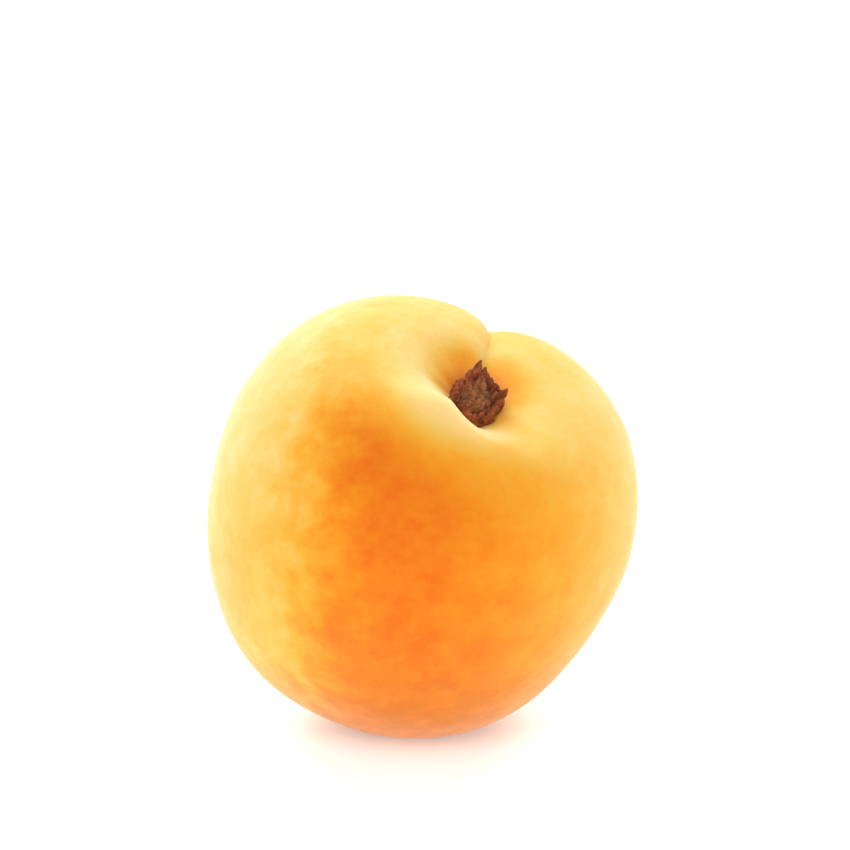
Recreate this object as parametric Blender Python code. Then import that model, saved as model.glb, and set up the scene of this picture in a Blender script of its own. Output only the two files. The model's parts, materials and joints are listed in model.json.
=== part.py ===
"""Apricot: one ripe fruit with the short, torn stub of its stalk still in the stem cavity.

Row frame: metres, +Z up, the floor at Z = 0.  The origin is the middle of the small flat spot the
fruit rests on.  The stem end leans towards -Y and +X, so the cavity and its stub look towards the
front, and the suture (the seam down one side) runs up over the top and down the back.

Each body is a sphere whose points are moved to the shape.  The fruit's skin is a radius for every
direction from its middle; directions are told by two angles:
  polar - angle from the stem axis, 0 at the stem end and 180 degrees at the blossom end
  turn  - angle round the stem axis, 0 at the suture, +90 degrees at the fruit's fuller cheek
Lengths below are in millimetres and angles in degrees; MM turns the lengths into metres.
"""

import bmesh
import bpy
from math import acos, atan2, cos, exp, hypot, pi, radians, sin
from mathutils import Matrix, Vector

MM = 0.001

# ---- where the fruit lies -----------------------------------------------------------------------
FRUIT_MIDDLE = (-0.79, 0.0, 26.09)   # the fruit's own middle, above the rest spot
STEM_LEAN = 34.3                     # stem axis away from upright
STEM_HEADING = -57.5                 # compass heading of that lean, from +X towards +Y
SUTURE_SPIN = 141.4                  # turns the fruit about its stem axis to bring the seam round

# ---- main body: a slightly full ellipsoid ---------------------------------------------------------
SEAM_HALF_WIDTH = 23.5               # middle to the suture side
CHEEK_HALF_WIDTH = 24.2              # middle to either cheek
STEM_HALF_LENGTH = 25.82             # middle to the poles, before the cavity is sunk
FULLNESS = 2.22                      # 2 is a true ellipsoid, more is fuller between the axes

# ---- broad swells and hollows: polar, turn, reach, height ------------------------------------------
SWELLS = (
    (45.0, 95.0, 36.0, 0.73),        # shoulder of the fuller cheek
    (48.0, -80.0, 36.0, 1.66),       # shoulder of the other cheek
    (105.0, -75.0, 38.0, 1.38),      # lower part of the other cheek
    (120.0, 110.0, 40.0, -1.53),     # the fuller cheek draws in towards the blossom end
    (95.0, 180.0, 45.0, 1.22),       # the side away from the suture is a little fuller
    (100.0, 0.0, 40.0, -0.08),       # the suture side is a little flatter
)

# ---- suture: steep against the fuller cheek, gentle on the other side -------------------------------
SEAM_SHIFT = -1.53                   # the seam lies a little off the middle plane
SEAM_STEEP_SIDE = 2.06
SEAM_GENTLE_SIDE = 2.75
SEAM_DEPTH_SHOULDER = 2.96
SEAM_DEPTH_LOW = 0.6
SEAM_FADE = 75.0                     # polar angle over which the shoulder's depth fades
SEAM_FORM = 1.25                     # 2 is a rounded bottom, less is more of a crease
SEAM_SOFTENING = 2.8                 # the seam is this much wider, as a share, low on the fruit

# ---- stem cavity: a funnel, drawn in and steep on the side of the fuller cheek -----------------------
CAVITY_DEPTH = 6.0
CAVITY_REACH = 19.1                  # polar angle of the mouth where it is widest
CAVITY_NARROWING = 8.4               # and how much less it is where the near wall draws in
CAVITY_NARROW_TURN = 153.0
CAVITY_NARROW_SPREAD = 42.0
CAVITY_STEEP_TURN = 194.0            # the steepest wall faces this way
CAVITY_STEEP_SPREAD = 42.0
CAVITY_STEEP = 4.4
CAVITY_GENTLE = 1.5
SHOULDER_DEPTH = 1.1                 # the skin round the mouth is rounded down too
SHOULDER_REACH = 26.0

# ---- blossom end: a shallow dimple --------------------------------------------------------------------
TIP_REACH = 9.0
TIP_DEPTH = 0.5

# ---- stub of the stalk --------------------------------------------------------------------------------
STUB_GAP = 0.3                       # clear space between the stub and the skin under it
STUB_LIFT = 0.60                     # raises the rounded base clear of the funnel's walls
STUB_SHIFT = (-1.15, -0.95)          # off the stem axis, away from the seam and the fuller cheek
STUB_RADIUS = 2.7
STUB_TAPER = 0.60                    # share of the radius lost between the rim and the base
STUB_NECK = 0.04
STUB_FACE_HEIGHT = 2.5               # middle of the torn face above the stub's base
STUB_FACE_SLOPE = 0.42               # the torn face is higher towards the seam
STUB_FACE_TURN = 25.0
STUB_RIM_HEIGHT = 0.45
# shreds of bark standing on the rim: turn, half-width, height
STUB_SHREDS = (
    (26.0, 22.0, 1.8),
    (4.0, 12.0, 0.7),
    (-60.0, 16.0, 1.3),
    (100.0, 24.0, 0.5),
)

# ---- mesh density ------------------------------------------------------------------------------------
FRUIT_COLUMNS = 72
FRUIT_ROWS = 60
ROW_CROWDING = 0.55                  # rows crowd towards both ends
COLUMN_CROWDING = 0.55               # columns crowd towards the seam
STUB_COLUMNS = 48
STUB_ROWS = 26
MERGE_DISTANCE = 0.00002


def direction(polar, turn):
    """Unit vector for the two angles, in radians."""
    return Vector((sin(polar) * cos(turn), sin(polar) * sin(turn), cos(polar)))


def smooth_step(low, high, value):
    share = min(1.0, max(0.0, (value - low) / (high - low)))
    return share * share * (3.0 - 2.0 * share)


def body_radius(way):
    """Full ellipsoid plus the broad swells."""
    total = abs(way.x / SEAM_HALF_WIDTH) ** FULLNESS
    total += abs(way.y / CHEEK_HALF_WIDTH) ** FULLNESS
    total += abs(way.z / STEM_HALF_LENGTH) ** FULLNESS
    radius = total ** (-1.0 / FULLNESS)
    for polar, turn, reach, height in SWELLS:
        crown = direction(radians(polar), radians(turn))
        apart = acos(min(1.0, max(-1.0, way.dot(crown))))
        radius += height * exp(-(apart / radians(reach)) ** 2)
    return radius


def seam_drop(way, radius, polar_degrees):
    """How far the suture sinks the skin."""
    aside = way.y * radius - SEAM_SHIFT
    flank = SEAM_STEEP_SIDE if aside > 0.0 else SEAM_GENTLE_SIDE
    flank *= 1.0 + SEAM_SOFTENING * smooth_step(35.0, 100.0, polar_degrees)
    section = 1.0 / (1.0 + abs(aside / flank) ** SEAM_FORM)
    fade = exp(-(polar_degrees / SEAM_FADE) ** 2)
    depth = SEAM_DEPTH_LOW + (SEAM_DEPTH_SHOULDER - SEAM_DEPTH_LOW) * fade
    depth *= smooth_step(175.0, 140.0, polar_degrees)
    depth *= smooth_step(3.0, 15.0, polar_degrees)
    return depth * section * smooth_step(-0.10, 0.30, way.x)


def turn_bump(turn, middle, spread):
    """1 at the middle turn, fading to 0 away from it; middle and spread in degrees."""
    apart = (turn * 180.0 / pi - middle + 180.0) % 360.0 - 180.0
    return exp(-(apart / spread) ** 2)


def cavity_drop(polar_degrees, turn):
    """How far the stem cavity sinks the skin."""
    narrow = turn_bump(turn, CAVITY_NARROW_TURN, CAVITY_NARROW_SPREAD)
    steep = turn_bump(turn, CAVITY_STEEP_TURN, CAVITY_STEEP_SPREAD)
    out = polar_degrees / (CAVITY_REACH - CAVITY_NARROWING * narrow)
    power = CAVITY_GENTLE + (CAVITY_STEEP - CAVITY_GENTLE) * steep
    rounded = SHOULDER_DEPTH * exp(-(polar_degrees / SHOULDER_REACH) ** 2)
    return CAVITY_DEPTH * exp(-out ** power) + rounded


def skin_radius(polar, turn):
    """Distance from the fruit's middle to its skin."""
    way = direction(polar, turn)
    polar_degrees = polar * 180.0 / pi
    radius = body_radius(way)
    radius -= seam_drop(way, radius, polar_degrees)
    radius -= cavity_drop(polar_degrees, turn)
    from_tip = (180.0 - polar_degrees) / TIP_REACH
    return radius - TIP_DEPTH * exp(-from_tip ** 2)


def fruit_to_world():
    """Turn and move from the fruit's own axes to the row frame, in metres."""
    heading = Matrix.Rotation(radians(STEM_HEADING), 4, 'Z')
    lean = Matrix.Rotation(radians(STEM_LEAN), 4, 'Y')
    spin = Matrix.Rotation(radians(SUTURE_SPIN), 4, 'Z')
    place = Matrix.Translation(Vector(FRUIT_MIDDLE) * MM)
    return place @ heading @ lean @ spin @ Matrix.Scale(MM, 4)


def unit_sphere(columns, rows):
    sphere = bmesh.new()
    bmesh.ops.create_uvsphere(sphere, u_segments=columns, v_segments=rows, radius=1.0)
    return sphere


def angles_of(point):
    return atan2(hypot(point.x, point.y), point.z), atan2(point.y, point.x)


def build_fruit(to_world):
    """The fruit as one closed body, cut flat where it rests."""
    bm = unit_sphere(FRUIT_COLUMNS, FRUIT_ROWS)
    for vertex in bm.verts:
        polar, turn = angles_of(vertex.co)
        polar -= 0.5 * ROW_CROWDING * sin(2.0 * polar)
        turn -= COLUMN_CROWDING * sin(turn)
        vertex.co = to_world @ (direction(polar, turn) * skin_radius(polar, turn))
    everything = bm.verts[:] + bm.edges[:] + bm.faces[:]
    bmesh.ops.bisect_plane(bm, geom=everything, dist=1e-7, plane_co=(0, 0, 0),
                           plane_no=(0, 0, 1), clear_inner=True)
    open_edges = [edge for edge in bm.edges if edge.is_boundary]
    bmesh.ops.contextual_create(bm, geom=open_edges)
    return bm


def stub_rim_height(turn):
    """Height of the torn rim above the stub's base."""
    height = STUB_FACE_HEIGHT + STUB_RIM_HEIGHT
    height += STUB_FACE_SLOPE * STUB_RADIUS * cos(turn - radians(STUB_FACE_TURN))
    for middle, half_width, rise in STUB_SHREDS:
        apart = (turn * 180.0 / pi - middle + 180.0) % 360.0 - 180.0
        height += rise * max(0.0, 1.0 - abs(apart) / half_width)
    return height


def stub_wall(drop):
    """Radius of the bark from the rim (0) down to the edge of the base (1), as a share."""
    return 1.0 - STUB_TAPER * smooth_step(0.08, 1.0, drop) - STUB_NECK * sin(pi * drop)


def stub_point(along, turn):
    """A point of the stub: along runs from the middle of the torn face (0) to the base (1)."""
    ridges = 1.0 + 0.035 * cos(5.0 * turn + 0.7) + 0.02 * cos(9.0 * turn - 0.4)
    full = STUB_RADIUS * ridges
    tilt = STUB_FACE_SLOPE * cos(turn - radians(STUB_FACE_TURN))
    rim = stub_rim_height(turn)
    if along <= 0.35:
        out = 0.82 * full * along / 0.35
        height = STUB_FACE_HEIGHT + tilt * out + 0.10 * cos(3.0 * turn + 1.1) * along / 0.35
    elif along <= 0.5:
        share = (along - 0.35) / 0.15
        out = full * (0.82 + 0.18 * share)
        face_edge = STUB_FACE_HEIGHT + tilt * 0.82 * full + 0.10 * cos(3.0 * turn + 1.1)
        height = face_edge + (rim - face_edge) * share
    elif along <= 0.9:
        drop = (along - 0.5) / 0.4
        out = full * stub_wall(drop)
        height = rim * (1.0 - drop) ** 0.9
    else:
        share = (1.0 - along) / 0.1
        out = full * stub_wall(1.0) * share
        height = 0.0
    return Vector((out * cos(turn), out * sin(turn), height))


def build_stub(to_world):
    """The torn stub of the stalk as one closed body standing in the cavity."""
    bm = unit_sphere(STUB_COLUMNS, STUB_ROWS)
    base = skin_radius(0.0, 0.0) + STUB_GAP + STUB_LIFT
    foot = Vector((STUB_SHIFT[0], STUB_SHIFT[1], base))
    for vertex in bm.verts:
        polar, turn = angles_of(vertex.co)
        vertex.co = to_world @ (foot + stub_point(polar / pi, turn))
    return bm


def skin_material(name, color, roughness):
    material = bpy.data.materials.new(name)
    material.use_nodes = True
    shader = material.node_tree.nodes["Principled BSDF"]
    shader.inputs["Base Color"].default_value = color
    shader.inputs["Roughness"].default_value = roughness
    shader.inputs["Metallic"].default_value = 0.0
    return material


def add_object(name, bm, material, collection):
    bmesh.ops.remove_doubles(bm, verts=bm.verts[:], dist=MERGE_DISTANCE)
    bmesh.ops.triangulate(bm, faces=bm.faces[:])
    bmesh.ops.recalc_face_normals(bm, faces=bm.faces[:])
    mesh = bpy.data.meshes.new(name)
    bm.to_mesh(mesh)
    bm.free()
    mesh.materials.append(material)
    body = bpy.data.objects.new(name, mesh)
    collection.objects.link(body)
    return body


for old in list(bpy.data.objects):
    bpy.data.objects.remove(old)

apricot = bpy.data.collections.new("apricot")
bpy.context.scene.collection.children.link(apricot)

world = fruit_to_world()
add_object("fruit", build_fruit(world), skin_material("fruit_skin", (0.93, 0.42, 0.08, 1.0), 0.6),
           apricot)
add_object("stem_stub", build_stub(world), skin_material("stub_bark", (0.21, 0.065, 0.028, 1.0), 0.85),
           apricot)
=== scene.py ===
"""Looks of the apricot: fine skin with its suture and stem cavity, the torn stub of its stalk, a white set.

Frame: metres, +Z up, origin at the middle of the flat rest spot.  Inside the shape functions lengths are
millimetres; MM turns them into metres.  polar and turn are the two angles of the fruit's own axes: polar
from the stem axis, turn round it from the suture towards the fuller cheek.  Its own axes are x to the
suture, y to the fuller cheek and z to the stem.
"""

import json
from math import cos, pi, radians, sin

import bpy
import numpy as np
from mathutils import Matrix, Vector

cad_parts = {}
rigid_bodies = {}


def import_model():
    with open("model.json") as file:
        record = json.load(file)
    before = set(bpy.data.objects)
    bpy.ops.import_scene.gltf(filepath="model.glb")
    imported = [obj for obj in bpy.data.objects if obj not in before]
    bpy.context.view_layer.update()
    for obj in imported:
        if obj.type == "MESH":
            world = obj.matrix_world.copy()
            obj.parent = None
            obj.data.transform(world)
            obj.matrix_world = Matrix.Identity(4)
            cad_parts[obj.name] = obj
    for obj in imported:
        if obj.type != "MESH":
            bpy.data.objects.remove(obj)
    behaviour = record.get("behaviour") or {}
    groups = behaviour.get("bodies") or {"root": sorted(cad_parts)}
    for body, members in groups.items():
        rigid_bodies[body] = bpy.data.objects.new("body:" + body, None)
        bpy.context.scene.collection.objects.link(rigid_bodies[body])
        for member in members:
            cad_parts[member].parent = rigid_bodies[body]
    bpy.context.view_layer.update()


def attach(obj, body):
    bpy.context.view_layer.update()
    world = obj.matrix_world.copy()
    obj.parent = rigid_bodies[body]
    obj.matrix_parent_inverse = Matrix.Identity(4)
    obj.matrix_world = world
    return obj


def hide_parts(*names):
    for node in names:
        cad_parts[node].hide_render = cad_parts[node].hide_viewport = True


for old in list(bpy.data.objects):
    bpy.data.objects.remove(old)

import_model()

MM = 0.001

# ---- the fruit's shape: the same numbers as the CAD part ------------------------------------------
FRUIT_MIDDLE = (-0.79, 0.0, 26.09)
STEM_LEAN = 34.3
STEM_HEADING = -57.5
SUTURE_SPIN = 141.4
SEAM_HALF_WIDTH = 23.5
CHEEK_HALF_WIDTH = 24.2
STEM_HALF_LENGTH = 25.82
FULLNESS = 2.22
# broad swells and hollows: polar, turn, reach, height
SWELLS = (
    (45.0, 95.0, 36.0, 0.73),
    (48.0, -80.0, 36.0, 1.66),
    (105.0, -75.0, 38.0, 1.38),
    (120.0, 110.0, 40.0, -1.53),
    (95.0, 180.0, 45.0, 1.22),
    (100.0, 0.0, 40.0, -0.08),
)
SEAM_SHIFT = -1.53
SEAM_STEEP_SIDE = 2.06
SEAM_GENTLE_SIDE = 2.75
SEAM_DEPTH_SHOULDER = 2.96
SEAM_DEPTH_LOW = 0.6
SEAM_FADE = 75.0
SEAM_FORM = 1.25
SEAM_SOFTENING = 2.8
SEAM_SOFTENS = (35.0, 100.0)         # polar angles between which the seam widens
SEAM_STARTS = (3.0, 15.0)            # polar angles over which it comes out of the cavity
SEAM_ENDS = (175.0, 140.0)           # and over which it comes out of the blossom end
SEAM_SIDE = (-0.10, 0.30)            # how far the way points to the suture's side where it begins
CAVITY_DEPTH = 6.0
CAVITY_REACH = 19.1
CAVITY_NARROWING = 8.4
CAVITY_NARROW_TURN = 153.0
CAVITY_NARROW_SPREAD = 42.0
CAVITY_STEEP_TURN = 194.0
CAVITY_STEEP_SPREAD = 42.0
CAVITY_STEEP = 4.4
CAVITY_GENTLE = 1.5
SHOULDER_DEPTH = 1.1
SHOULDER_REACH = 26.0
TIP_REACH = 9.0
TIP_DEPTH = 0.5

# ---- fine relief of the skin: a wave has a wavelength, a height and a seed --------------------------
BROAD_WAVE = (17.0, 0.07, 3)         # slow unevenness
MIDDLE_WAVE = (5.5, 0.018, 5)
PUCKER_COUNT = 9                     # faint folds that run into the cavity
PUCKER_HEIGHT = 0.05
PUCKER_POLAR = 9.0                   # where they stand highest
PUCKER_SPREAD = 6.0
PUCKER_WANDER = (9.0, 0.8, 8)        # its height is an angle in radians
CREASE_DEPTH = 0.05                  # hairline at the bottom of the suture
CREASE_WIDTH = 0.38
CREASE_WANDER = (14.0, 0.25, 11)
CREASE_SIDE = (-0.05, 0.25)
CREASE_STARTS = (8.0, 20.0)
SCAR_HEIGHT = 0.35                   # the dry point left by the flower
SCAR_REACH = 1.5
WAVE_COUNT = 26                      # plane waves in one random wave
WAVE_STRETCH = (0.7, 1.5)

# ---- where the stub stands ------------------------------------------------------------------------
STUB_FLOOR = 17.05                   # fruit's middle to the stub's foot, sunk in the cavity's floor
STUB_SHIFT = (-1.30, -1.10)          # off the stem axis, away from the seam and the fuller cheek

# ---- mesh density ---------------------------------------------------------------------------------
FRUIT_COLUMNS = 320
FRUIT_ROWS = 260
ROW_CROWDING = 0.55                  # rows crowd towards both ends
COLUMN_CROWDING = 0.5                # columns crowd towards the seam
POLE_ANGLE = 1e-5                    # the end points lie this close to the stem axis


def direction(polar, turn):
    return np.stack([np.sin(polar) * np.cos(turn), np.sin(polar) * np.sin(turn), np.cos(polar)], -1)


def smooth_step(low, high, value):
    share = np.clip((value - low) / (high - low), 0.0, 1.0)
    return share * share * (3.0 - 2.0 * share)


def wave(points, wavelength, height, seed):
    """Smooth random field, about -height to height, from plane waves of nearly one wavelength."""
    chance = np.random.RandomState(seed)
    total = np.zeros(points.shape[:-1])
    for _ in range(WAVE_COUNT):
        way = chance.normal(size=3)
        way /= np.linalg.norm(way)
        stretch = chance.uniform(*WAVE_STRETCH)
        total += np.cos(points @ way * 2.0 * pi / (wavelength * stretch) + chance.uniform(0, 2 * pi))
    return height * (total / np.sqrt(WAVE_COUNT / 2.0))


def body_radius(way):
    """Full ellipsoid plus the broad swells."""
    total = np.abs(way[..., 0] / SEAM_HALF_WIDTH) ** FULLNESS
    total += np.abs(way[..., 1] / CHEEK_HALF_WIDTH) ** FULLNESS
    total += np.abs(way[..., 2] / STEM_HALF_LENGTH) ** FULLNESS
    radius = total ** (-1.0 / FULLNESS)
    for polar, turn, reach, height in SWELLS:
        crown = direction(radians(polar), radians(turn))
        apart = np.arccos(np.clip(way @ crown, -1.0, 1.0))
        radius += height * np.exp(-(apart / radians(reach)) ** 2)
    return radius


def seam_drop(way, radius, polar_degrees):
    """How far the suture sinks the skin."""
    aside = way[..., 1] * radius - SEAM_SHIFT
    flank = np.where(aside > 0.0, SEAM_STEEP_SIDE, SEAM_GENTLE_SIDE)
    flank = flank * (1.0 + SEAM_SOFTENING * smooth_step(*SEAM_SOFTENS, polar_degrees))
    section = 1.0 / (1.0 + np.abs(aside / flank) ** SEAM_FORM)
    fade = np.exp(-(polar_degrees / SEAM_FADE) ** 2)
    depth = SEAM_DEPTH_LOW + (SEAM_DEPTH_SHOULDER - SEAM_DEPTH_LOW) * fade
    depth *= smooth_step(*SEAM_ENDS, polar_degrees) * smooth_step(*SEAM_STARTS, polar_degrees)
    return depth * section * smooth_step(*SEAM_SIDE, way[..., 0])


def turn_bump(turn, middle, spread):
    """1 at the middle turn, fading to 0 away from it; middle and spread in degrees."""
    apart = (np.degrees(turn) - middle + 180.0) % 360.0 - 180.0
    return np.exp(-(apart / spread) ** 2)


def cavity_drop(polar_degrees, turn):
    """How far the stem cavity sinks the skin."""
    narrow = turn_bump(turn, CAVITY_NARROW_TURN, CAVITY_NARROW_SPREAD)
    steep = turn_bump(turn, CAVITY_STEEP_TURN, CAVITY_STEEP_SPREAD)
    out = polar_degrees / (CAVITY_REACH - CAVITY_NARROWING * narrow)
    power = CAVITY_GENTLE + (CAVITY_STEEP - CAVITY_GENTLE) * steep
    rounded = SHOULDER_DEPTH * np.exp(-(polar_degrees / SHOULDER_REACH) ** 2)
    return CAVITY_DEPTH * np.exp(-out ** power) + rounded


def skin_radius(polar, turn):
    """The CAD part's skin: distance from the fruit's middle."""
    way = direction(polar, turn)
    polar_degrees = np.degrees(polar)
    radius = body_radius(way)
    radius = radius - seam_drop(way, radius, polar_degrees)
    radius = radius - cavity_drop(polar_degrees, turn)
    from_tip = (180.0 - polar_degrees) / TIP_REACH
    return radius - TIP_DEPTH * np.exp(-from_tip ** 2)


def fine_relief(polar, turn, points):
    """What is added to the CAD skin: slow unevenness, cavity folds, the seam's hairline, the scar."""
    way = direction(polar, turn)
    polar_degrees = np.degrees(polar)
    relief = wave(points, *BROAD_WAVE)
    relief += wave(points, *MIDDLE_WAVE)
    in_cavity = np.exp(-((polar_degrees - PUCKER_POLAR) / PUCKER_SPREAD) ** 2)
    relief += PUCKER_HEIGHT * in_cavity * np.cos(PUCKER_COUNT * turn + wave(points, *PUCKER_WANDER))
    radius = np.linalg.norm(points, axis=-1)
    aside = way[..., 1] * radius - SEAM_SHIFT + wave(points, *CREASE_WANDER)
    line = np.exp(-(aside / CREASE_WIDTH) ** 2) * smooth_step(*CREASE_SIDE, way[..., 0])
    relief -= CREASE_DEPTH * line * smooth_step(*CREASE_STARTS, polar_degrees)
    from_tip = radius * np.radians(180.0 - polar_degrees)
    relief += SCAR_HEIGHT * np.exp(-(from_tip / SCAR_REACH) ** 2)
    return relief


def fruit_to_frame():
    """Turn and move from the fruit's own axes, millimetres, to the frame, metres."""
    heading = Matrix.Rotation(radians(STEM_HEADING), 4, 'Z')
    lean = Matrix.Rotation(radians(STEM_LEAN), 4, 'Y')
    spin = Matrix.Rotation(radians(SUTURE_SPIN), 4, 'Z')
    place = Matrix.Translation(Vector(FRUIT_MIDDLE) * MM)
    return place @ heading @ lean @ spin @ Matrix.Scale(MM, 4)


FRUIT_TO_FRAME = fruit_to_frame()
STUB_TO_FRAME = FRUIT_TO_FRAME @ Matrix.Translation((*STUB_SHIFT, STUB_FLOOR))
TURN_ONLY = (FRUIT_TO_FRAME.to_3x3() * (1.0 / MM)).normalized()


def placed(points, to_frame):
    """Points of a piece's own axes as points of the frame."""
    matrix = np.array(to_frame)
    return points @ matrix[:3, :3].T + matrix[:3, 3]


def fruit_axis(x, y, z):
    """A direction of the fruit's own axes as a unit vector of the frame."""
    return tuple(TURN_ONLY @ Vector((x, y, z)).normalized())


def link_object(name, mesh):
    piece = bpy.data.objects.new(name, mesh)
    bpy.context.scene.collection.objects.link(piece)
    return piece


def mesh_object(name, points, faces, material):
    mesh = bpy.data.meshes.new(name)
    mesh.from_pydata([tuple(p) for p in points], [], faces)
    mesh.update()
    mesh.shade_smooth()
    mesh.materials.append(material)
    return link_object(name, mesh)


def globe_faces(columns, rows):
    """Faces of a closed globe: one point, rows of columns, one point."""
    faces = []
    for column in range(columns):
        faces.append((0, 1 + column, 1 + (column + 1) % columns))
    for row in range(rows - 1):
        start = 1 + row * columns
        for column in range(columns):
            beside = (column + 1) % columns
            faces.append((start + column, start + columns + column,
                          start + columns + beside, start + beside))
    last = 1 + rows * columns
    start = last - columns
    for column in range(columns):
        faces.append((last, start + (column + 1) % columns, start + column))
    return faces


def globe_points(columns, rows, shape):
    """shape(polar, turn) on a grid crowded towards the ends and the seam, with one point at each end."""
    polar = np.linspace(0.0, pi, rows + 2)[1:-1]
    polar = polar - 0.5 * ROW_CROWDING * np.sin(2.0 * polar)
    turn = np.linspace(-pi, pi, columns, endpoint=False)
    turn = turn - COLUMN_CROWDING * np.sin(turn)
    grid_polar, grid_turn = np.meshgrid(polar, turn, indexing='ij')
    middle = shape(grid_polar, grid_turn).reshape(-1, 3)
    top = shape(np.array([POLE_ANGLE]), np.array([0.0]))
    bottom = shape(np.array([pi - POLE_ANGLE]), np.array([0.0]))
    return np.vstack([top, middle, bottom])


def fruit_surface(polar, turn):
    """The fine skin in the frame, flat where it would go through the floor."""
    way = direction(polar, turn)
    points = way * skin_radius(polar, turn)[..., None]
    points = points + way * fine_relief(polar, turn, points)[..., None]
    points = placed(points, FRUIT_TO_FRAME)
    points[..., 2] = np.maximum(points[..., 2], 0.0)
    return points


# ---- node helpers -----------------------------------------------------------------------------------
class Nodes:
    """Short calls for building one material's node tree."""

    def __init__(self, name):
        self.material = bpy.data.materials.new(name)
        self.material.use_nodes = True
        self.tree = self.material.node_tree
        self.shader = self.tree.nodes["Principled BSDF"]

    def put(self, socket, value):
        if isinstance(value, bpy.types.NodeSocket):
            self.tree.links.new(value, socket)
        else:
            socket.default_value = value

    def add(self, kind, inputs, **settings):
        """A new node with these settings; inputs go by number or by name."""
        node = self.tree.nodes.new("ShaderNode" + kind)
        for name, value in settings.items():
            setattr(node, name, value)
        for key, value in inputs.items():
            self.put(node.inputs[key], value)
        return node

    def math(self, operation, first, second=0.0, third=0.0):
        return self.add("Math", {0: first, 1: second, 2: third}, operation=operation).outputs[0]

    def product(self, first, *others):
        for other in others:
            first = self.math('MULTIPLY', first, other)
        return first

    def vector(self, operation, first, second=(0.0, 0.0, 0.0)):
        return self.add("VectorMath", {0: first, 1: second}, operation=operation).outputs["Vector"]

    def along(self, way, axis):
        """How far a way goes along an axis."""
        return self.add("VectorMath", {0: way, 1: axis}, operation='DOT_PRODUCT').outputs["Value"]

    def length(self, way):
        return self.add("VectorMath", {0: way}, operation='LENGTH').outputs["Value"]

    def place(self):
        """The place on the surface, in metres of the frame."""
        return self.add("TexCoord", {}).outputs["Object"]

    def place_from(self, origin):
        """The place on the surface, in millimetres from an origin given in metres."""
        return self.vector('MULTIPLY', self.vector('SUBTRACT', self.place(), origin), (1.0 / MM,) * 3)

    def span(self, value, low, high, to_low=0.0, to_high=1.0):
        """value mapped from low..high to to_low..to_high, eased and clamped."""
        inputs = {"Value": value, "From Min": low, "From Max": high, "To Min": to_low, "To Max": to_high}
        return self.add("MapRange", inputs, interpolation_type='SMOOTHSTEP').outputs["Result"]

    def swing(self, noise, height):
        """A noise as a change up and down from nothing."""
        return self.math('MULTIPLY', self.math('SUBTRACT', noise, 0.5), height)

    def over(self, upper, lower):
        """Two shares laid one on the other: what the upper one leaves is the lower one's."""
        return self.math('ADD', lower, self.math('MULTIPLY', upper, self.math('SUBTRACT', 1.0, lower)))

    def noise(self, place, scale, detail, roughness, distortion=0.0):
        inputs = {"Vector": place, "Scale": scale, "Detail": detail, "Roughness": roughness,
                  "Distortion": distortion}
        return self.add("TexNoise", inputs).outputs["Fac"]

    def cell_distance(self, place, scale):
        """Distance to the nearest of many scattered points."""
        return self.add("TexVoronoi", {"Vector": place, "Scale": scale}).outputs["Distance"]

    def ramp(self, value, stops):
        node = self.add("ValToRGB", {"Fac": value})
        while len(node.color_ramp.elements) < len(stops):
            node.color_ramp.elements.new(0.5)
        for element, (position, color) in zip(node.color_ramp.elements, stops):
            element.position = position
            element.color = (*color, 1.0)
        return node.outputs["Color"]

    def mix(self, share, first, second):
        node = self.add("Mix", {"Factor": share}, data_type='RGBA')
        colors = [socket for socket in node.inputs if socket.type == 'RGBA']
        self.put(colors[0], first)
        self.put(colors[1], second)
        return next(socket for socket in node.outputs if socket.type == 'RGBA')

    def bump(self, height, strength, distance, below=None):
        node = self.add("Bump", {"Height": height, "Strength": strength, "Distance": distance})
        if below is not None:
            self.put(node.inputs["Normal"], below)
        return node.outputs["Normal"]

    def finish(self, color, roughness, normal, constants):
        self.put(self.shader.inputs["Base Color"], color)
        self.put(self.shader.inputs["Roughness"], roughness)
        self.put(self.shader.inputs["Normal"], normal)
        for name, value in constants.items():
            self.put(self.shader.inputs[name], value)
        return self.material


# ---- skin of the fruit --------------------------------------------------------------------------------
SKIN_COLORS = (                      # by ripeness, from pale yellow to the blush
    (0.00, (0.79, 0.60, 0.210)),
    (0.25, (0.80, 0.50, 0.090)),
    (0.50, (0.82, 0.38, 0.027)),
    (0.75, (0.80, 0.27, 0.008)),
    (1.00, (0.75, 0.155, 0.003)),
)
# painted shade: dark brown-orange put close round the stub in the cavity
CAVITY_SHADE_COLOR = (0.60, 0.17, 0.015, 1.0)
# painted shade: darker, deeper orange towards the bottom, where the fruit sits near the floor
BOTTOM_SHADE_COLOR = (0.60, 0.178, 0.001, 1.0)
# cream of the lip round the cavity: paler skin and partly a painted highlight
LIP_CREAM_AND_HIGHLIGHT_COLOR = (0.86, 0.58, 0.225, 1.0)
PORE_COLOR = (0.98, 0.70, 0.25, 1.0)
SCAR_EDGE_COLOR = (0.50, 0.22, 0.06, 1.0)
SCAR_COLOR = (0.16, 0.06, 0.02, 1.0)

# noises: how many to a millimetre, detail, roughness
CLOUD = (0.085, 3.0, 0.5)
PATCH = (0.30, 4.0, 0.6)
MOTTLE = (1.1, 4.0, 0.65)
FUZZ = (5.5, 5.0, 0.7)
SWAY = 0.22                          # how far clouds and patches move the edges of the blush
FRAY = 0.16

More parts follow.
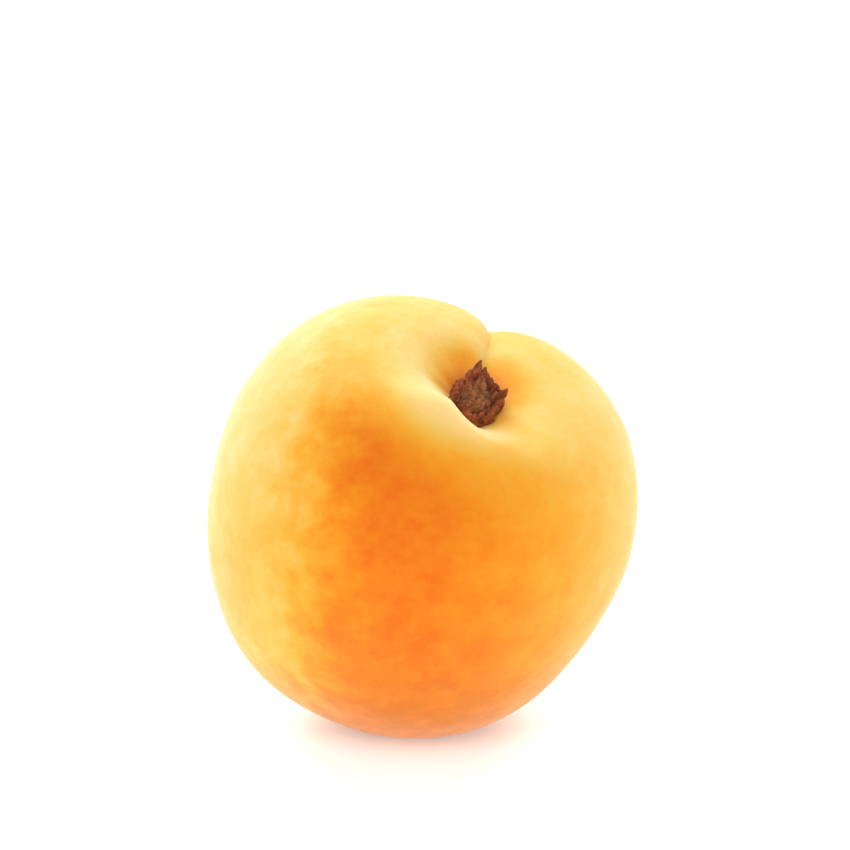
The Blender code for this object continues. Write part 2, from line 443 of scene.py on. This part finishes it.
# The spans below ease between their first two values; the next two, if any, are what they give there.
# They read the way from the fruit's middle: along right, up and front as the sunny face is looked at,
# and along the stem axis, to the seam and to the fuller cheek.  A slant tilts a side of the blush.
FACE_RIGHT = (1.0, 0.0, 0.0)
FACE_UP = (0.0, 0.309, 0.951)
FACE_FRONT = (0.0, -0.951, 0.309)
BLUSH_LEFT = (-0.620, -0.165, 0.0, 0.90)
BLUSH_LEFT_SLANT = -0.06
BLUSH_RIGHT = (1.123, -0.079)
BLUSH_RIGHT_SLANT = 0.178
BLUSH_TOP = (1.163, 0.289)
BLUSH_TOP_SLANT = -0.525
BLUSH_MOUTH = (1.024, 0.78)          # along the stem axis: it stops short of the cavity's mouth
BLUSH_MOUTH_WAVER = 0.5
BLUSH_BACK = (-0.35, 0.20)
LOW_RIPENESS = (0.485, -0.245, 0.084, 0.341)
PALE_RING_STEM = (0.91, 0.882)       # the ring round the cavity, paler skin and partly a painted highlight on the lit lip, keeps out of the low ripeness, but for its side away from the fuller cheek
PALE_RING_CHEEK = (-0.24, -0.36)     # but for its side away from the fuller cheek
AWAY_FRONT = (0.30, -0.75)           # the side turned away is golden
AWAY_WAVER = 1.2
AWAY_RIPENESS = 1.05
SHADED_HOLLOW_MIDDLE = (0.098, -0.046, 1.0)  # middle of the painted shade in the cavity, where its walls are coloured ripest and darkest, in the fruit's own axes
# painted shade: the cavity's walls are pushed riper and deeper orange, darkest by the stub
HOLLOW_SHADE_RIPENESS = (0.944, 1.041, 0.0, 1.5)
HOLLOW_SHADE_COLOR_SPAN = (0.985, 0.998, 0.0, 0.8)
STUB_SHADE_SPOT = (-0.23, -0.17, 0.95)     # painted shade of the stub: a riper, darker place in front of it, in the fruit's own axes
STUB_SHADE_RIPENESS = (0.982, 0.999, 0.0, 0.28)
PATCH_RIPENESS = 0.50
MOTTLE_RIPENESS = 0.18
LIP_SEAM = (-0.14, -0.28, 0.0, 0.8)  # creamy rim between the blush and the cavity: paler skin and partly a painted highlight on the lip
LIP_CHEEK = (-0.42, -0.05, 0.2, 1.0)
LIP_STEM = (0.905, 0.950)
# painted shade towards the bottom: where it starts and is full, and the patches it comes in
BOTTOM_SHADE_UP = (-0.58, -0.95)
BOTTOM_SHADE_PATCHES = (0.35, 0.65, 0.35, 0.85)
SCAR_RAGGED = 0.004
SCAR_EDGE = (-0.992, -0.999, 0.0, 0.35)
SCAR_POINT = (-0.9984, -0.9996)

PORES_PER_MM = 1.25
PORE_SIZE = (0.20, 0.05)
PORE_SHARE = 0.06
FUZZ_ROUGHNESS = (0.3, 0.7, 0.50, 0.66)
# bumps: strength, and distance in metres
FUZZ_BUMP = (0.25, 0.00012)
PORE_BUMP = (0.12, -0.00008)
PATCH_BUMP = (0.30, 0.0006)
SKIN_CONSTANTS = {
    "Specular IOR Level": 0.09,
    "Subsurface Weight": 0.50,
    "Subsurface Radius": (1.0, 0.42, 0.12),
    "Subsurface Scale": 0.0028,
    "Sheen Weight": 0.38,
    "Sheen Roughness": 0.42,
    "Sheen Tint": (1.0, 0.96, 0.86, 1.0),
}


def blush_ripeness(n, right, up, front, to_stem, to_cheek, waver):
    """A broad upright band on the sunny face, over a lower half that is a little riper all round."""
    left_side = n.math('ADD', n.math('MULTIPLY_ADD', up, BLUSH_LEFT_SLANT, right), waver)
    right_side = n.math('ADD', n.math('MULTIPLY_ADD', up, BLUSH_RIGHT_SLANT, right), waver)
    above = n.math('SUBTRACT', n.math('MULTIPLY_ADD', right, BLUSH_TOP_SLANT, up), waver)
    mouth = n.math('MULTIPLY_ADD', waver, BLUSH_MOUTH_WAVER, to_stem)
    band = n.product(n.span(left_side, *BLUSH_LEFT), n.span(right_side, *BLUSH_RIGHT),
                     n.span(above, *BLUSH_TOP), n.span(mouth, *BLUSH_MOUTH), n.span(front, *BLUSH_BACK))
    beside_ring = n.math('MAXIMUM', n.span(to_stem, *PALE_RING_STEM), n.span(to_cheek, *PALE_RING_CHEEK))
    return n.over(band, n.product(n.span(up, *LOW_RIPENESS), beside_ring))


def away_ripeness(n, front, cloud, waver):
    turned_away = n.span(n.math('MULTIPLY_ADD', waver, AWAY_WAVER, front), *AWAY_FRONT)
    return n.product(turned_away, n.product(cloud, AWAY_RIPENESS))


# how much of the cream rim lies here, paler skin and partly a painted highlight on the lip
def lip_cream_and_highlight_share(n, to_stem, to_seam, to_cheek):
    return n.product(n.span(to_seam, *LIP_SEAM), n.span(to_cheek, *LIP_CHEEK), n.span(to_stem, *LIP_STEM))


def add_scar(n, color, to_stem, mottle):
    """The dry scar at the blossom end, with a ragged edge."""
    ragged = n.math('MULTIPLY_ADD', n.math('SUBTRACT', mottle, 0.5), SCAR_RAGGED, to_stem)
    color = n.mix(n.span(ragged, *SCAR_EDGE), color, SCAR_EDGE_COLOR)
    return n.mix(n.span(ragged, *SCAR_POINT), color, SCAR_COLOR)


def skin_material():
    n = Nodes("apricot_skin")
    place = n.place_from(tuple(v * MM for v in FRUIT_MIDDLE))
    way = n.vector('NORMALIZE', place)
    to_stem = n.along(way, fruit_axis(0, 0, 1))
    to_seam = n.along(way, fruit_axis(1, 0, 0))
    to_cheek = n.along(way, fruit_axis(0, 1, 0))
    near_shaded_hollow = n.along(way, fruit_axis(*SHADED_HOLLOW_MIDDLE))
    near_stub_shade = n.along(way, fruit_axis(*STUB_SHADE_SPOT))
    right = n.along(way, FACE_RIGHT)
    up = n.along(way, FACE_UP)
    front = n.along(way, FACE_FRONT)
    cloud = n.noise(place, *CLOUD)
    patch = n.noise(place, *PATCH)
    mottle = n.noise(place, *MOTTLE)
    fuzz = n.noise(place, *FUZZ)
    pore = n.span(n.cell_distance(place, PORES_PER_MM), *PORE_SIZE)
    waver = n.math('ADD', n.swing(cloud, SWAY), n.swing(patch, FRAY))

    ripe = blush_ripeness(n, right, up, front, to_stem, to_cheek, waver)
    ripe = n.over(away_ripeness(n, front, cloud, waver), ripe)
    # painted shade: the cavity's walls coloured riper and darker
    ripe = n.over(n.span(near_shaded_hollow, *HOLLOW_SHADE_RIPENESS), ripe)
    # painted shade of the stub, on the lip in front of it
    ripe = n.math('ADD', ripe, n.span(near_stub_shade, *STUB_SHADE_RIPENESS))
    ripe = n.math('ADD', ripe, n.swing(patch, PATCH_RIPENESS))
    ripe = n.math('ADD', ripe, n.swing(mottle, MOTTLE_RIPENESS))

    color = n.ramp(ripe, SKIN_COLORS)
    # cream rim round the cavity: paler skin and partly a painted highlight on the lip
    color = n.mix(lip_cream_and_highlight_share(n, to_stem, to_seam, to_cheek), color, LIP_CREAM_AND_HIGHLIGHT_COLOR)
    # painted shade: dark colour close round the stub in the cavity
    color = n.mix(n.span(near_shaded_hollow, *HOLLOW_SHADE_COLOR_SPAN), color, CAVITY_SHADE_COLOR)
    # painted shade: darker, deeper orange towards the bottom, in patches
    color = n.mix(n.product(n.span(up, *BOTTOM_SHADE_UP), n.span(patch, *BOTTOM_SHADE_PATCHES)), color, BOTTOM_SHADE_COLOR)
    color = n.mix(n.product(pore, PORE_SHARE), color, PORE_COLOR)
    color = add_scar(n, color, to_stem, mottle)

    relief = n.bump(fuzz, *FUZZ_BUMP)
    relief = n.bump(pore, *PORE_BUMP, relief)
    relief = n.bump(patch, *PATCH_BUMP, relief)
    return n.finish(color, n.span(fuzz, *FUZZ_ROUGHNESS), relief, SKIN_CONSTANTS)


# ---- stub of the stalk: shape --------------------------------------------------------------------------
STUB_RADIUS = 2.75
STUB_TAPER = 0.58
STUB_FACE_HEIGHT = 4.9
STUB_FACE_SLOPE = 0.42
STUB_FACE_TURN = 25.0
STUB_VOXEL = 0.075

CORE_COLUMNS = 72
CORE_RIDGES = ((5.0, 0.7, 0.05), (8.0, -0.4, 0.03))   # how many round, where they start, height
CORE_FACE_RINGS = (0.12, 0.35, 0.6, 0.8, 0.92)
CORE_FACE_SHARE = 0.86               # of the stub's radius
CORE_FACE_DOME = 0.25
CORE_EDGE_DROP = 0.5                 # the face is rounded down to its edge by this much
CORE_SIDE_RINGS = 16
CORE_SIDE_SHARE = 0.90
CORE_SIDE_START = 0.05
CORE_SIDE_TAPERS = (0.1, 1.0)        # shares of the way down between which it tapers

# outline of the dried collar round the torn end: turn and height, straight in between
COLLAR = (
    (-180.0, 4.6), (-148.0, 4.4), (-120.0, 4.9), (-96.0, 5.3), (-76.0, 5.7), (-63.0, 6.5), (-52.0, 5.9),
    (-34.0, 6.2), (-18.0, 6.4), (-8.0, 6.8), (4.0, 7.5), (12.0, 7.1), (26.0, 8.5), (36.0, 7.2),
    (44.0, 6.9), (49.0, 6.1), (76.0, 5.8), (100.0, 5.5), (132.0, 5.1), (160.0, 4.8), (180.0, 4.6),
)
# its section: side, in thicknesses out from the middle, and share of the height
COLLAR_SECTION = (
    (-0.5, 0.0), (0.5, 0.0), (0.5, 0.25), (0.5, 0.5), (0.48, 0.7), (0.42, 0.85),
    (0.28, 0.95), (0.05, 1.0), (-0.2, 0.97), (-0.38, 0.85), (-0.45, 0.7), (-0.5, 0.5),
)
COLLAR_COLUMNS = 360
COLLAR_TEETH = ((17.0, 1.0, 0.12), (31.0, 0.0, 0.08))   # how many round, where they start, height
COLLAR_FOOT = 1.4
COLLAR_INSET = 0.35
COLLAR_THICKNESS = 0.95
COLLAR_LEAN = 0.75                   # the point on its right side leans out by this much
COLLAR_LEAN_TURN = -63.0
COLLAR_LEAN_SPREAD = 16.0
BARE_TAPER = 0.75 * STUB_TAPER       # under the collar
BARE_TAPER_POWER = 1.3

# flat plates of bark on the outside: turn, half-width, foot height, tip height, lean outwards, thickness
BARK_PLATES = (
    (18.0, 1.30, 1.6, 6.2, 0.10, 0.65),
    (-25.0, 1.20, 1.4, 5.4, 0.15, 0.60),
    (-72.0, 1.30, 1.2, 5.2, 0.35, 0.65),
    (70.0, 1.50, 1.4, 5.0, 0.10, 0.65),
    (112.0, 1.40, 1.2, 4.6, 0.20, 0.60),
    (152.0, 1.50, 1.2, 4.0, 0.25, 0.65),
    (-160.0, 1.40, 1.2, 3.8, 0.25, 0.60),
    (-118.0, 1.50, 1.2, 4.2, 0.30, 0.65),
)
PLATE_SEED = 40
PLATE_COLUMNS = 20
PLATE_ROWS = 22
PLATE_WOBBLE = 0.35
PLATE_OUT = 0.05
PLATE_TIP_WIDTH = 0.02               # least share of the width and of the thickness, at the tip
PLATE_TIP_THICKNESS = 0.03
PLATE_WIDTH_POWERS = (3.5, 0.6)      # how late the width goes, and how blunt the tip is
PLATE_THICKNESS_POWER = 0.45

# chunks and fibres of torn wood on the face: random ranges, and shares of the height with a ring
SPLINTER_COUNT = 14
SPLINTER_SEED = 70
SPLINTER_REACH = 0.80
SPLINTER_SPREAD = (0.05, 1.0)
SPLINTER_TURN = 2.4                  # from each to the next, near the golden angle
SPLINTER_HALF = (0.40, 0.80)
SPLINTER_RISE = (0.1, 0.9)
SPLINTER_RISE_MIDDLE = 0.4
SPLINTER_LEAN = (-0.4, 0.4)
SPLINTER_SLANT = (-0.7, 0.7)
SPLINTER_SUNK = 1.2
SPLINTER_TAPER = 0.55
SPLINTER_COLUMNS = 12
SPLINTER_LOBES = ((2.0, 0.30), (3.0, 0.15))   # how many round, and height
SPLINTER_RINGS = (0.0, 0.55, 0.8, 0.95, 1.0)
FIBRE_COUNT = 90
FIBRE_REACH = 0.82
FIBRE_THICK = (0.10, 0.24)
FIBRE_RISE = (0.05, 0.5)
FIBRE_RISE_MIDDLE = 0.5
FIBRE_LEAN = (-0.2, 0.2)
FIBRE_SUNK = 0.6
FIBRE_TAPER = 0.75
FIBRE_COLUMNS = 7
FIBRE_RINGS = (0.0, 0.5, 0.8, 1.0)
STUB_SEED = 23

LONG_GRAIN = (1.0, 1.0, 0.28)        # the bark's ridges run along the stalk
GRAIN_WAVE = (0.55, 0.055, 31)
FINE_WAVE = (0.30, 0.03, 32)
SMOOTHING = 0.5
SMOOTHING_TIMES = 2


def torn_height(x, y):
    """Height of the torn face over the stub's foot."""
    turn = radians(STUB_FACE_TURN)
    return STUB_FACE_HEIGHT + STUB_FACE_SLOPE * (x * cos(turn) + y * sin(turn))


def round_turns(columns):
    return np.linspace(0.0, 2.0 * pi, columns, endpoint=False)


def tube(rings):
    """A closed body through rings of equal length, pointed or flat at both ends."""
    columns = len(rings[0])
    points = [np.mean(rings[0], axis=0)] + [p for ring in rings for p in ring] + [np.mean(rings[-1], axis=0)]
    return points, globe_faces(columns, len(rings))


def core_body():
    """The stalk itself, from its foot in the cavity to the oblique torn face."""
    turn = round_turns(CORE_COLUMNS)
    ridged = 1.0
    for count, start, height in CORE_RIDGES:
        ridged = ridged + height * np.cos(count * turn + start)
    rings = []
    for out in CORE_FACE_RINGS:
        radius = CORE_FACE_SHARE * STUB_RADIUS * out * ridged
        x = radius * np.cos(turn)
        y = radius * np.sin(turn)
        height = torn_height(x, y) - CORE_EDGE_DROP * out ** 4 + CORE_FACE_DOME * (1.0 - out)
        rings.append(np.stack([x, y, height], -1))
    for drop in np.linspace(CORE_SIDE_START, 1.0, CORE_SIDE_RINGS):
        taper = 1.0 - STUB_TAPER * smooth_step(*CORE_SIDE_TAPERS, drop)
        radius = CORE_SIDE_SHARE * STUB_RADIUS * taper * ridged
        x = radius * np.cos(turn)
        y = radius * np.sin(turn)
        rings.append(np.stack([x, y, (torn_height(x, y) - CORE_EDGE_DROP) * (1.0 - drop)], -1))
    return tube(rings[::-1])


def bare_radius(height):
    """Radius of the stalk under its collar: it narrows towards the foot."""
    missing = 1.0 - np.clip(height / STUB_FACE_HEIGHT, 0.0, 1.0)
    return STUB_RADIUS * (1.0 - BARE_TAPER * missing ** BARE_TAPER_POWER)


def collar_body():
    """A thick jagged sleeve round the torn end."""
    degrees = np.linspace(-180.0, 180.0, COLLAR_COLUMNS, endpoint=False)
    turn = np.radians(degrees)
    top = np.interp(degrees, [point[0] for point in COLLAR], [point[1] for point in COLLAR])
    for count, start, height in COLLAR_TEETH:
        top = top + height * np.sin(count * turn + start)
    lean = COLLAR_LEAN * turn_bump(turn, COLLAR_LEAN_TURN, COLLAR_LEAN_SPREAD)
    points = []
    for side, share in COLLAR_SECTION:
        height = COLLAR_FOOT + (top - COLLAR_FOOT) * share
        radius = bare_radius(height) - COLLAR_INSET + COLLAR_THICKNESS * side + lean * share ** 3
        points.extend(np.stack([radius * np.cos(turn), radius * np.sin(turn), height], -1))
    faces = []
    for ring in range(len(COLLAR_SECTION)):
        above = (ring + 1) % len(COLLAR_SECTION)
        for column in range(COLLAR_COLUMNS):
            beside = (column + 1) % COLLAR_COLUMNS
            faces.append((ring * COLLAR_COLUMNS + column, ring * COLLAR_COLUMNS + beside,
                          above * COLLAR_COLUMNS + beside, above * COLLAR_COLUMNS + column))
    return points, faces


def plate_body(middle, half_width, foot, tip, lean, thickness, seed):
    """One bent plate of bark hugging the stalk."""
    ring_turn = round_turns(PLATE_COLUMNS)
    wobble = np.random.RandomState(seed).uniform(-PLATE_WOBBLE, PLATE_WOBBLE)
    late, blunt = PLATE_WIDTH_POWERS
    rings = []
    for share in np.linspace(0.0, 1.0, PLATE_ROWS):
        width = half_width * max(PLATE_TIP_WIDTH, (1.0 - share ** late)) ** blunt
        thick = thickness * max(PLATE_TIP_THICKNESS, 1.0 - share) ** PLATE_THICKNESS_POWER
        height = foot + (tip - foot) * share
        radius = bare_radius(height) + PLATE_OUT + lean * share ** 2 + 0.5 * thick * np.sin(ring_turn)
        angle = radians(middle) + (width * np.cos(ring_turn) + wobble * share ** 2) / STUB_RADIUS
        rings.append(np.stack([radius * np.cos(angle), radius * np.sin(angle),
                               np.full_like(angle, height)], -1))
    return tube(rings)


def fibre_body(x, y, thick, rise, lean_x, lean_y):
    """A torn wood fibre standing on the face."""
    ring_turn = round_turns(FIBRE_COLUMNS)
    foot = torn_height(x, y) - FIBRE_SUNK
    rings = []
    for share in FIBRE_RINGS:
        radius = thick * (1.0 - FIBRE_TAPER * share)
        rings.append(np.stack([x + lean_x * share + radius * np.cos(ring_turn),
                               y + lean_y * share + radius * np.sin(ring_turn),
                               np.full_like(ring_turn, foot + (rise + FIBRE_SUNK) * share)], -1))
    return tube(rings)


def splinter_body(x, y, half, rise, lean_x, lean_y, seed):
    """A chunk of torn wood with an irregular cross-section and a slanted tip."""
    chance = np.random.RandomState(seed)
    ring_turn = round_turns(SPLINTER_COLUMNS)
    form = 1.0
    for count, height in SPLINTER_LOBES:
        form = form + height * np.cos(count * ring_turn + chance.uniform(0, 2 * pi))
    slant_x, slant_y = chance.uniform(*SPLINTER_SLANT, 2)
    foot = torn_height(x, y) - SPLINTER_SUNK
    rings = []
    for share in SPLINTER_RINGS:
        radius = half * form * (1.0 - SPLINTER_TAPER * share ** 3)
        ring_x = radius * np.cos(ring_turn)
        ring_y = radius * np.sin(ring_turn)
        height = foot + (rise + SPLINTER_SUNK) * share + share * (slant_x * ring_x + slant_y * ring_y)
        rings.append(np.stack([x + lean_x * share + ring_x, y + lean_y * share + ring_y, height], -1))
    return tube(rings)


def stub_bodies():
    """Every body of the stub: the stalk, its collar, the bark, and the torn wood on its face."""
    yield core_body()
    yield collar_body()
    for index, plate in enumerate(BARK_PLATES):
        yield plate_body(*plate, seed=PLATE_SEED + index)
    chance = np.random.RandomState(STUB_SEED)
    for index in range(SPLINTER_COUNT):
        out = STUB_RADIUS * SPLINTER_REACH * chance.uniform(*SPLINTER_SPREAD) ** 0.5
        turn = SPLINTER_TURN * index
        yield splinter_body(out * cos(turn), out * sin(turn), chance.uniform(*SPLINTER_HALF),
                            chance.uniform(*SPLINTER_RISE) * (SPLINTER_RISE_MIDDLE + out / STUB_RADIUS),
                            chance.uniform(*SPLINTER_LEAN), chance.uniform(*SPLINTER_LEAN),
                            seed=SPLINTER_SEED + index)
    for _ in range(FIBRE_COUNT):
        out = STUB_RADIUS * FIBRE_REACH * chance.uniform(0.0, 1.0) ** 0.5
        turn = chance.uniform(-pi, pi)
        yield fibre_body(out * cos(turn), out * sin(turn), chance.uniform(*FIBRE_THICK),
                         chance.uniform(*FIBRE_RISE) * (FIBRE_RISE_MIDDLE + out / STUB_RADIUS),
                         chance.uniform(*FIBRE_LEAN), chance.uniform(*FIBRE_LEAN))


def melted_stub(material):
    """All bodies of the stub melted into one skin, in its own axes."""
    points = []
    faces = []
    for body_points, body_faces in stub_bodies():
        start = len(points)
        points.extend(body_points)
        faces.extend(tuple(start + index for index in face) for face in body_faces)
    raw = mesh_object("stub_raw", points, faces, material)
    melt = raw.modifiers.new("melt", 'REMESH')
    melt.mode = 'VOXEL'
    melt.voxel_size = STUB_VOXEL
    soften = raw.modifiers.new("soften", 'SMOOTH')
    soften.factor = SMOOTHING
    soften.iterations = SMOOTHING_TIMES
    mesh = bpy.data.meshes.new_from_object(raw.evaluated_get(bpy.context.evaluated_depsgraph_get()))
    bpy.data.objects.remove(raw)
    return mesh


def read_vectors(mesh, name):
    values = np.zeros(len(mesh.vertices) * 3, np.float32)
    mesh.vertices.foreach_get(name, values)
    return values.reshape(-1, 3)


def build_stub(material):
    """The melted stub, roughened along its grain and put in its place."""
    mesh = melted_stub(material)
    points = read_vectors(mesh, "co").astype(float)
    outward = read_vectors(mesh, "normal")
    rough = wave(points * np.array(LONG_GRAIN), *GRAIN_WAVE) + wave(points, *FINE_WAVE)
    points = placed(points + outward * rough[:, None], STUB_TO_FRAME)
    mesh.vertices.foreach_set("co", points.astype(np.float32).ravel())
    mesh.update()
    mesh.shade_smooth()
    return link_object("stalk_stub", mesh)


# ---- stub of the stalk: material -------------------------------------------------------------------------
BARK_COLORS = (
    (0.28, (0.11, 0.026, 0.007)),
    (0.45, (0.28, 0.070, 0.020)),
    (0.60, (0.44, 0.125, 0.048)),
    (0.78, (0.34, 0.105, 0.045)),
)
WOOD_COLOR = (0.40, 0.175, 0.062, 1.0)
CRACK_COLOR = (0.06, 0.018, 0.008, 1.0)
BARK_PATCHES = (0.6, 4.0, 0.6)
BARK_GRAIN = (2.4, 5.0, 0.7, 0.6)
BARK_GRAIN_STRETCH = 0.25            # the grain runs along the stalk
WOOD_OUT = (2.1, 0.9)                # bare wood in the middle of the torn face, with an uneven edge
WOOD_HEIGHT = (3.8, 4.8, 0.0, 0.75)
WOOD_WAVER = 3.5
CRACKS = (0.60, 0.36, 0.0, 0.6)
BARK_ROUGHNESS = (0.3, 0.7, 0.7, 0.92)
BARK_BUMP = (0.55, 0.00022)
BARK_CONSTANTS = {"Specular IOR Level": 0.3}


def stub_material():
    n = Nodes("stalk_bark")
    place = n.place_from(tuple(STUB_TO_FRAME.translation))
    x = n.along(place, fruit_axis(1, 0, 0))
    y = n.along(place, fruit_axis(0, 1, 0))
    z = n.along(place, fruit_axis(0, 0, 1))
    grain_place = n.add("CombineXYZ", {0: x, 1: y, 2: n.product(z, BARK_GRAIN_STRETCH)}).outputs[0]
    patches = n.noise(place, *BARK_PATCHES)
    grain = n.noise(grain_place, *BARK_GRAIN)
    out = n.math('SQRT', n.math('ADD', n.product(x, x), n.product(y, y)))
    uneven = n.math('ADD', out, n.swing(patches, WOOD_WAVER))
    wood = n.product(n.span(uneven, *WOOD_OUT), n.span(z, *WOOD_HEIGHT))
    color = n.mix(wood, n.ramp(patches, BARK_COLORS), WOOD_COLOR)
    color = n.mix(n.span(grain, *CRACKS), color, CRACK_COLOR)
    return n.finish(color, n.span(grain, *BARK_ROUGHNESS), n.bump(grain, *BARK_BUMP), BARK_CONSTANTS)


# ---- build ----------------------------------------------------------------------------------------------
fruit = mesh_object("apricot_fruit", globe_points(FRUIT_COLUMNS, FRUIT_ROWS, fruit_surface),
                    globe_faces(FRUIT_COLUMNS, FRUIT_ROWS), skin_material())
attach(fruit, "root")
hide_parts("fruit")

stub = build_stub(stub_material())
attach(stub, "root")
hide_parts("stem_stub")


# ---- set: floor, light, camera; metres -------------------------------------------------------------------
WHITE = (1.0, 1.0, 1.0, 1.0)
FLOOR_HALF = 6.0
FLOOR_TONES = (3.0, 2.0, 0.55)       # a noise: how many to a metre, detail, roughness
FLOOR_COLORS = ((0.3, (0.79, 0.79, 0.79)), (0.7, (0.81, 0.81, 0.81)))
FLOOR_ROUGHNESS = 0.6
FLOOR_BUMP = (0.02, 0.0005)
PAINTED_SHADOW_FORM = (0.66, 1.25, 1.0)       # the painted shadow in the floor's glow is wider than it is deep
FLOOR_GLOW_AND_PAINTED_SHADOW = (0.002, 0.014, 0.20, 0.58)   # the glowing floor is darker close to where the fruit rests: a painted contact shadow
TENT_STRENGTH = 0.80
# softboxes: name, place, size, power
SOFTBOXES = (
    ("top_left_back", (-0.22, 0.34, 0.50), 0.45, 2.8),
    ("top_right_back", (0.30, 0.30, 0.42), 0.35, 1.1),
    ("front_top", (-0.10, -0.45, 0.50), 0.50, 0.6),
)
LIGHT_AIM = (0.0, 0.0, 0.025)
# camera: millimetres and degrees
VIEW_POINT = (0.75, 0.0, 26.0)       # what the camera's elevation is measured at
VIEW_ELEVATION = 18.0
VIEW_DISTANCE = 276.4
VIEW_DROP = 2.183                    # the view point lies this many degrees under the middle of view
VIEW_ASIDE = 0.0485                  # and this many degrees to its left
LENS_MM = 100.0
SENSOR_MM = 36.0
NEAREST_SEEN = 0.01
FARTHEST_SEEN = 50.0


def floor_material():
    n = Nodes("white_floor")
    place = n.place()
    tone = n.noise(place, *FLOOR_TONES)
    # painted contact shadow: the floor's glow drops in a spot round where the fruit rests
    away = n.length(n.vector('MULTIPLY', place, PAINTED_SHADOW_FORM))
    constants = {"Emission Color": WHITE, "Emission Strength": n.span(away, *FLOOR_GLOW_AND_PAINTED_SHADOW)}
    return n.finish(n.ramp(tone, FLOOR_COLORS), FLOOR_ROUGHNESS, n.bump(tone, *FLOOR_BUMP), constants)


def build_floor():
    half = FLOOR_HALF
    corners = [(-half, -half, 0), (half, -half, 0), (half, half, 0), (-half, half, 0)]
    mesh_object("floor", corners, [(0, 1, 2, 3)], floor_material())


def add_softbox(name, place, size, power):
    light = bpy.data.lights.new(name, 'AREA')
    light.shape = 'DISK'
    light.size = size
    light.energy = power
    lamp = link_object(name, light)
    lamp.location = place
    lamp.rotation_euler = (Vector(LIGHT_AIM) - Vector(place)).to_track_quat('-Z', 'Y').to_euler()


def build_light():
    world = bpy.data.worlds.new("white_tent")
    world.use_nodes = True
    background = world.node_tree.nodes["Background"]
    background.inputs["Color"].default_value = WHITE
    background.inputs["Strength"].default_value = TENT_STRENGTH
    bpy.context.scene.world = world
    for softbox in SOFTBOXES:
        add_softbox(*softbox)


def build_camera():
    elevation = radians(VIEW_ELEVATION)
    back = Vector((0.0, -cos(elevation), sin(elevation)))
    pitch = elevation - radians(VIEW_DROP)
    look = Vector((0.0, cos(pitch), -sin(pitch)))
    side = Vector((1.0, 0.0, 0.0))
    up = side.cross(look)
    look = look * cos(radians(VIEW_ASIDE)) + side * sin(radians(VIEW_ASIDE))
    side = look.cross(up)
    lens = bpy.data.cameras.new("camera")
    lens.lens = LENS_MM
    lens.sensor_width = SENSOR_MM
    lens.clip_start = NEAREST_SEEN
    lens.clip_end = FARTHEST_SEEN
    camera = link_object("camera", lens)
    turned = Matrix((side, up, -look)).transposed().to_4x4()
    spot = (Vector(VIEW_POINT) + back * VIEW_DISTANCE) * MM
    camera.matrix_world = Matrix.Translation(spot) @ turned
    bpy.context.scene.camera = camera


build_floor()
build_light()
build_camera()
bpy.context.scene.view_settings.view_transform = 'Standard'
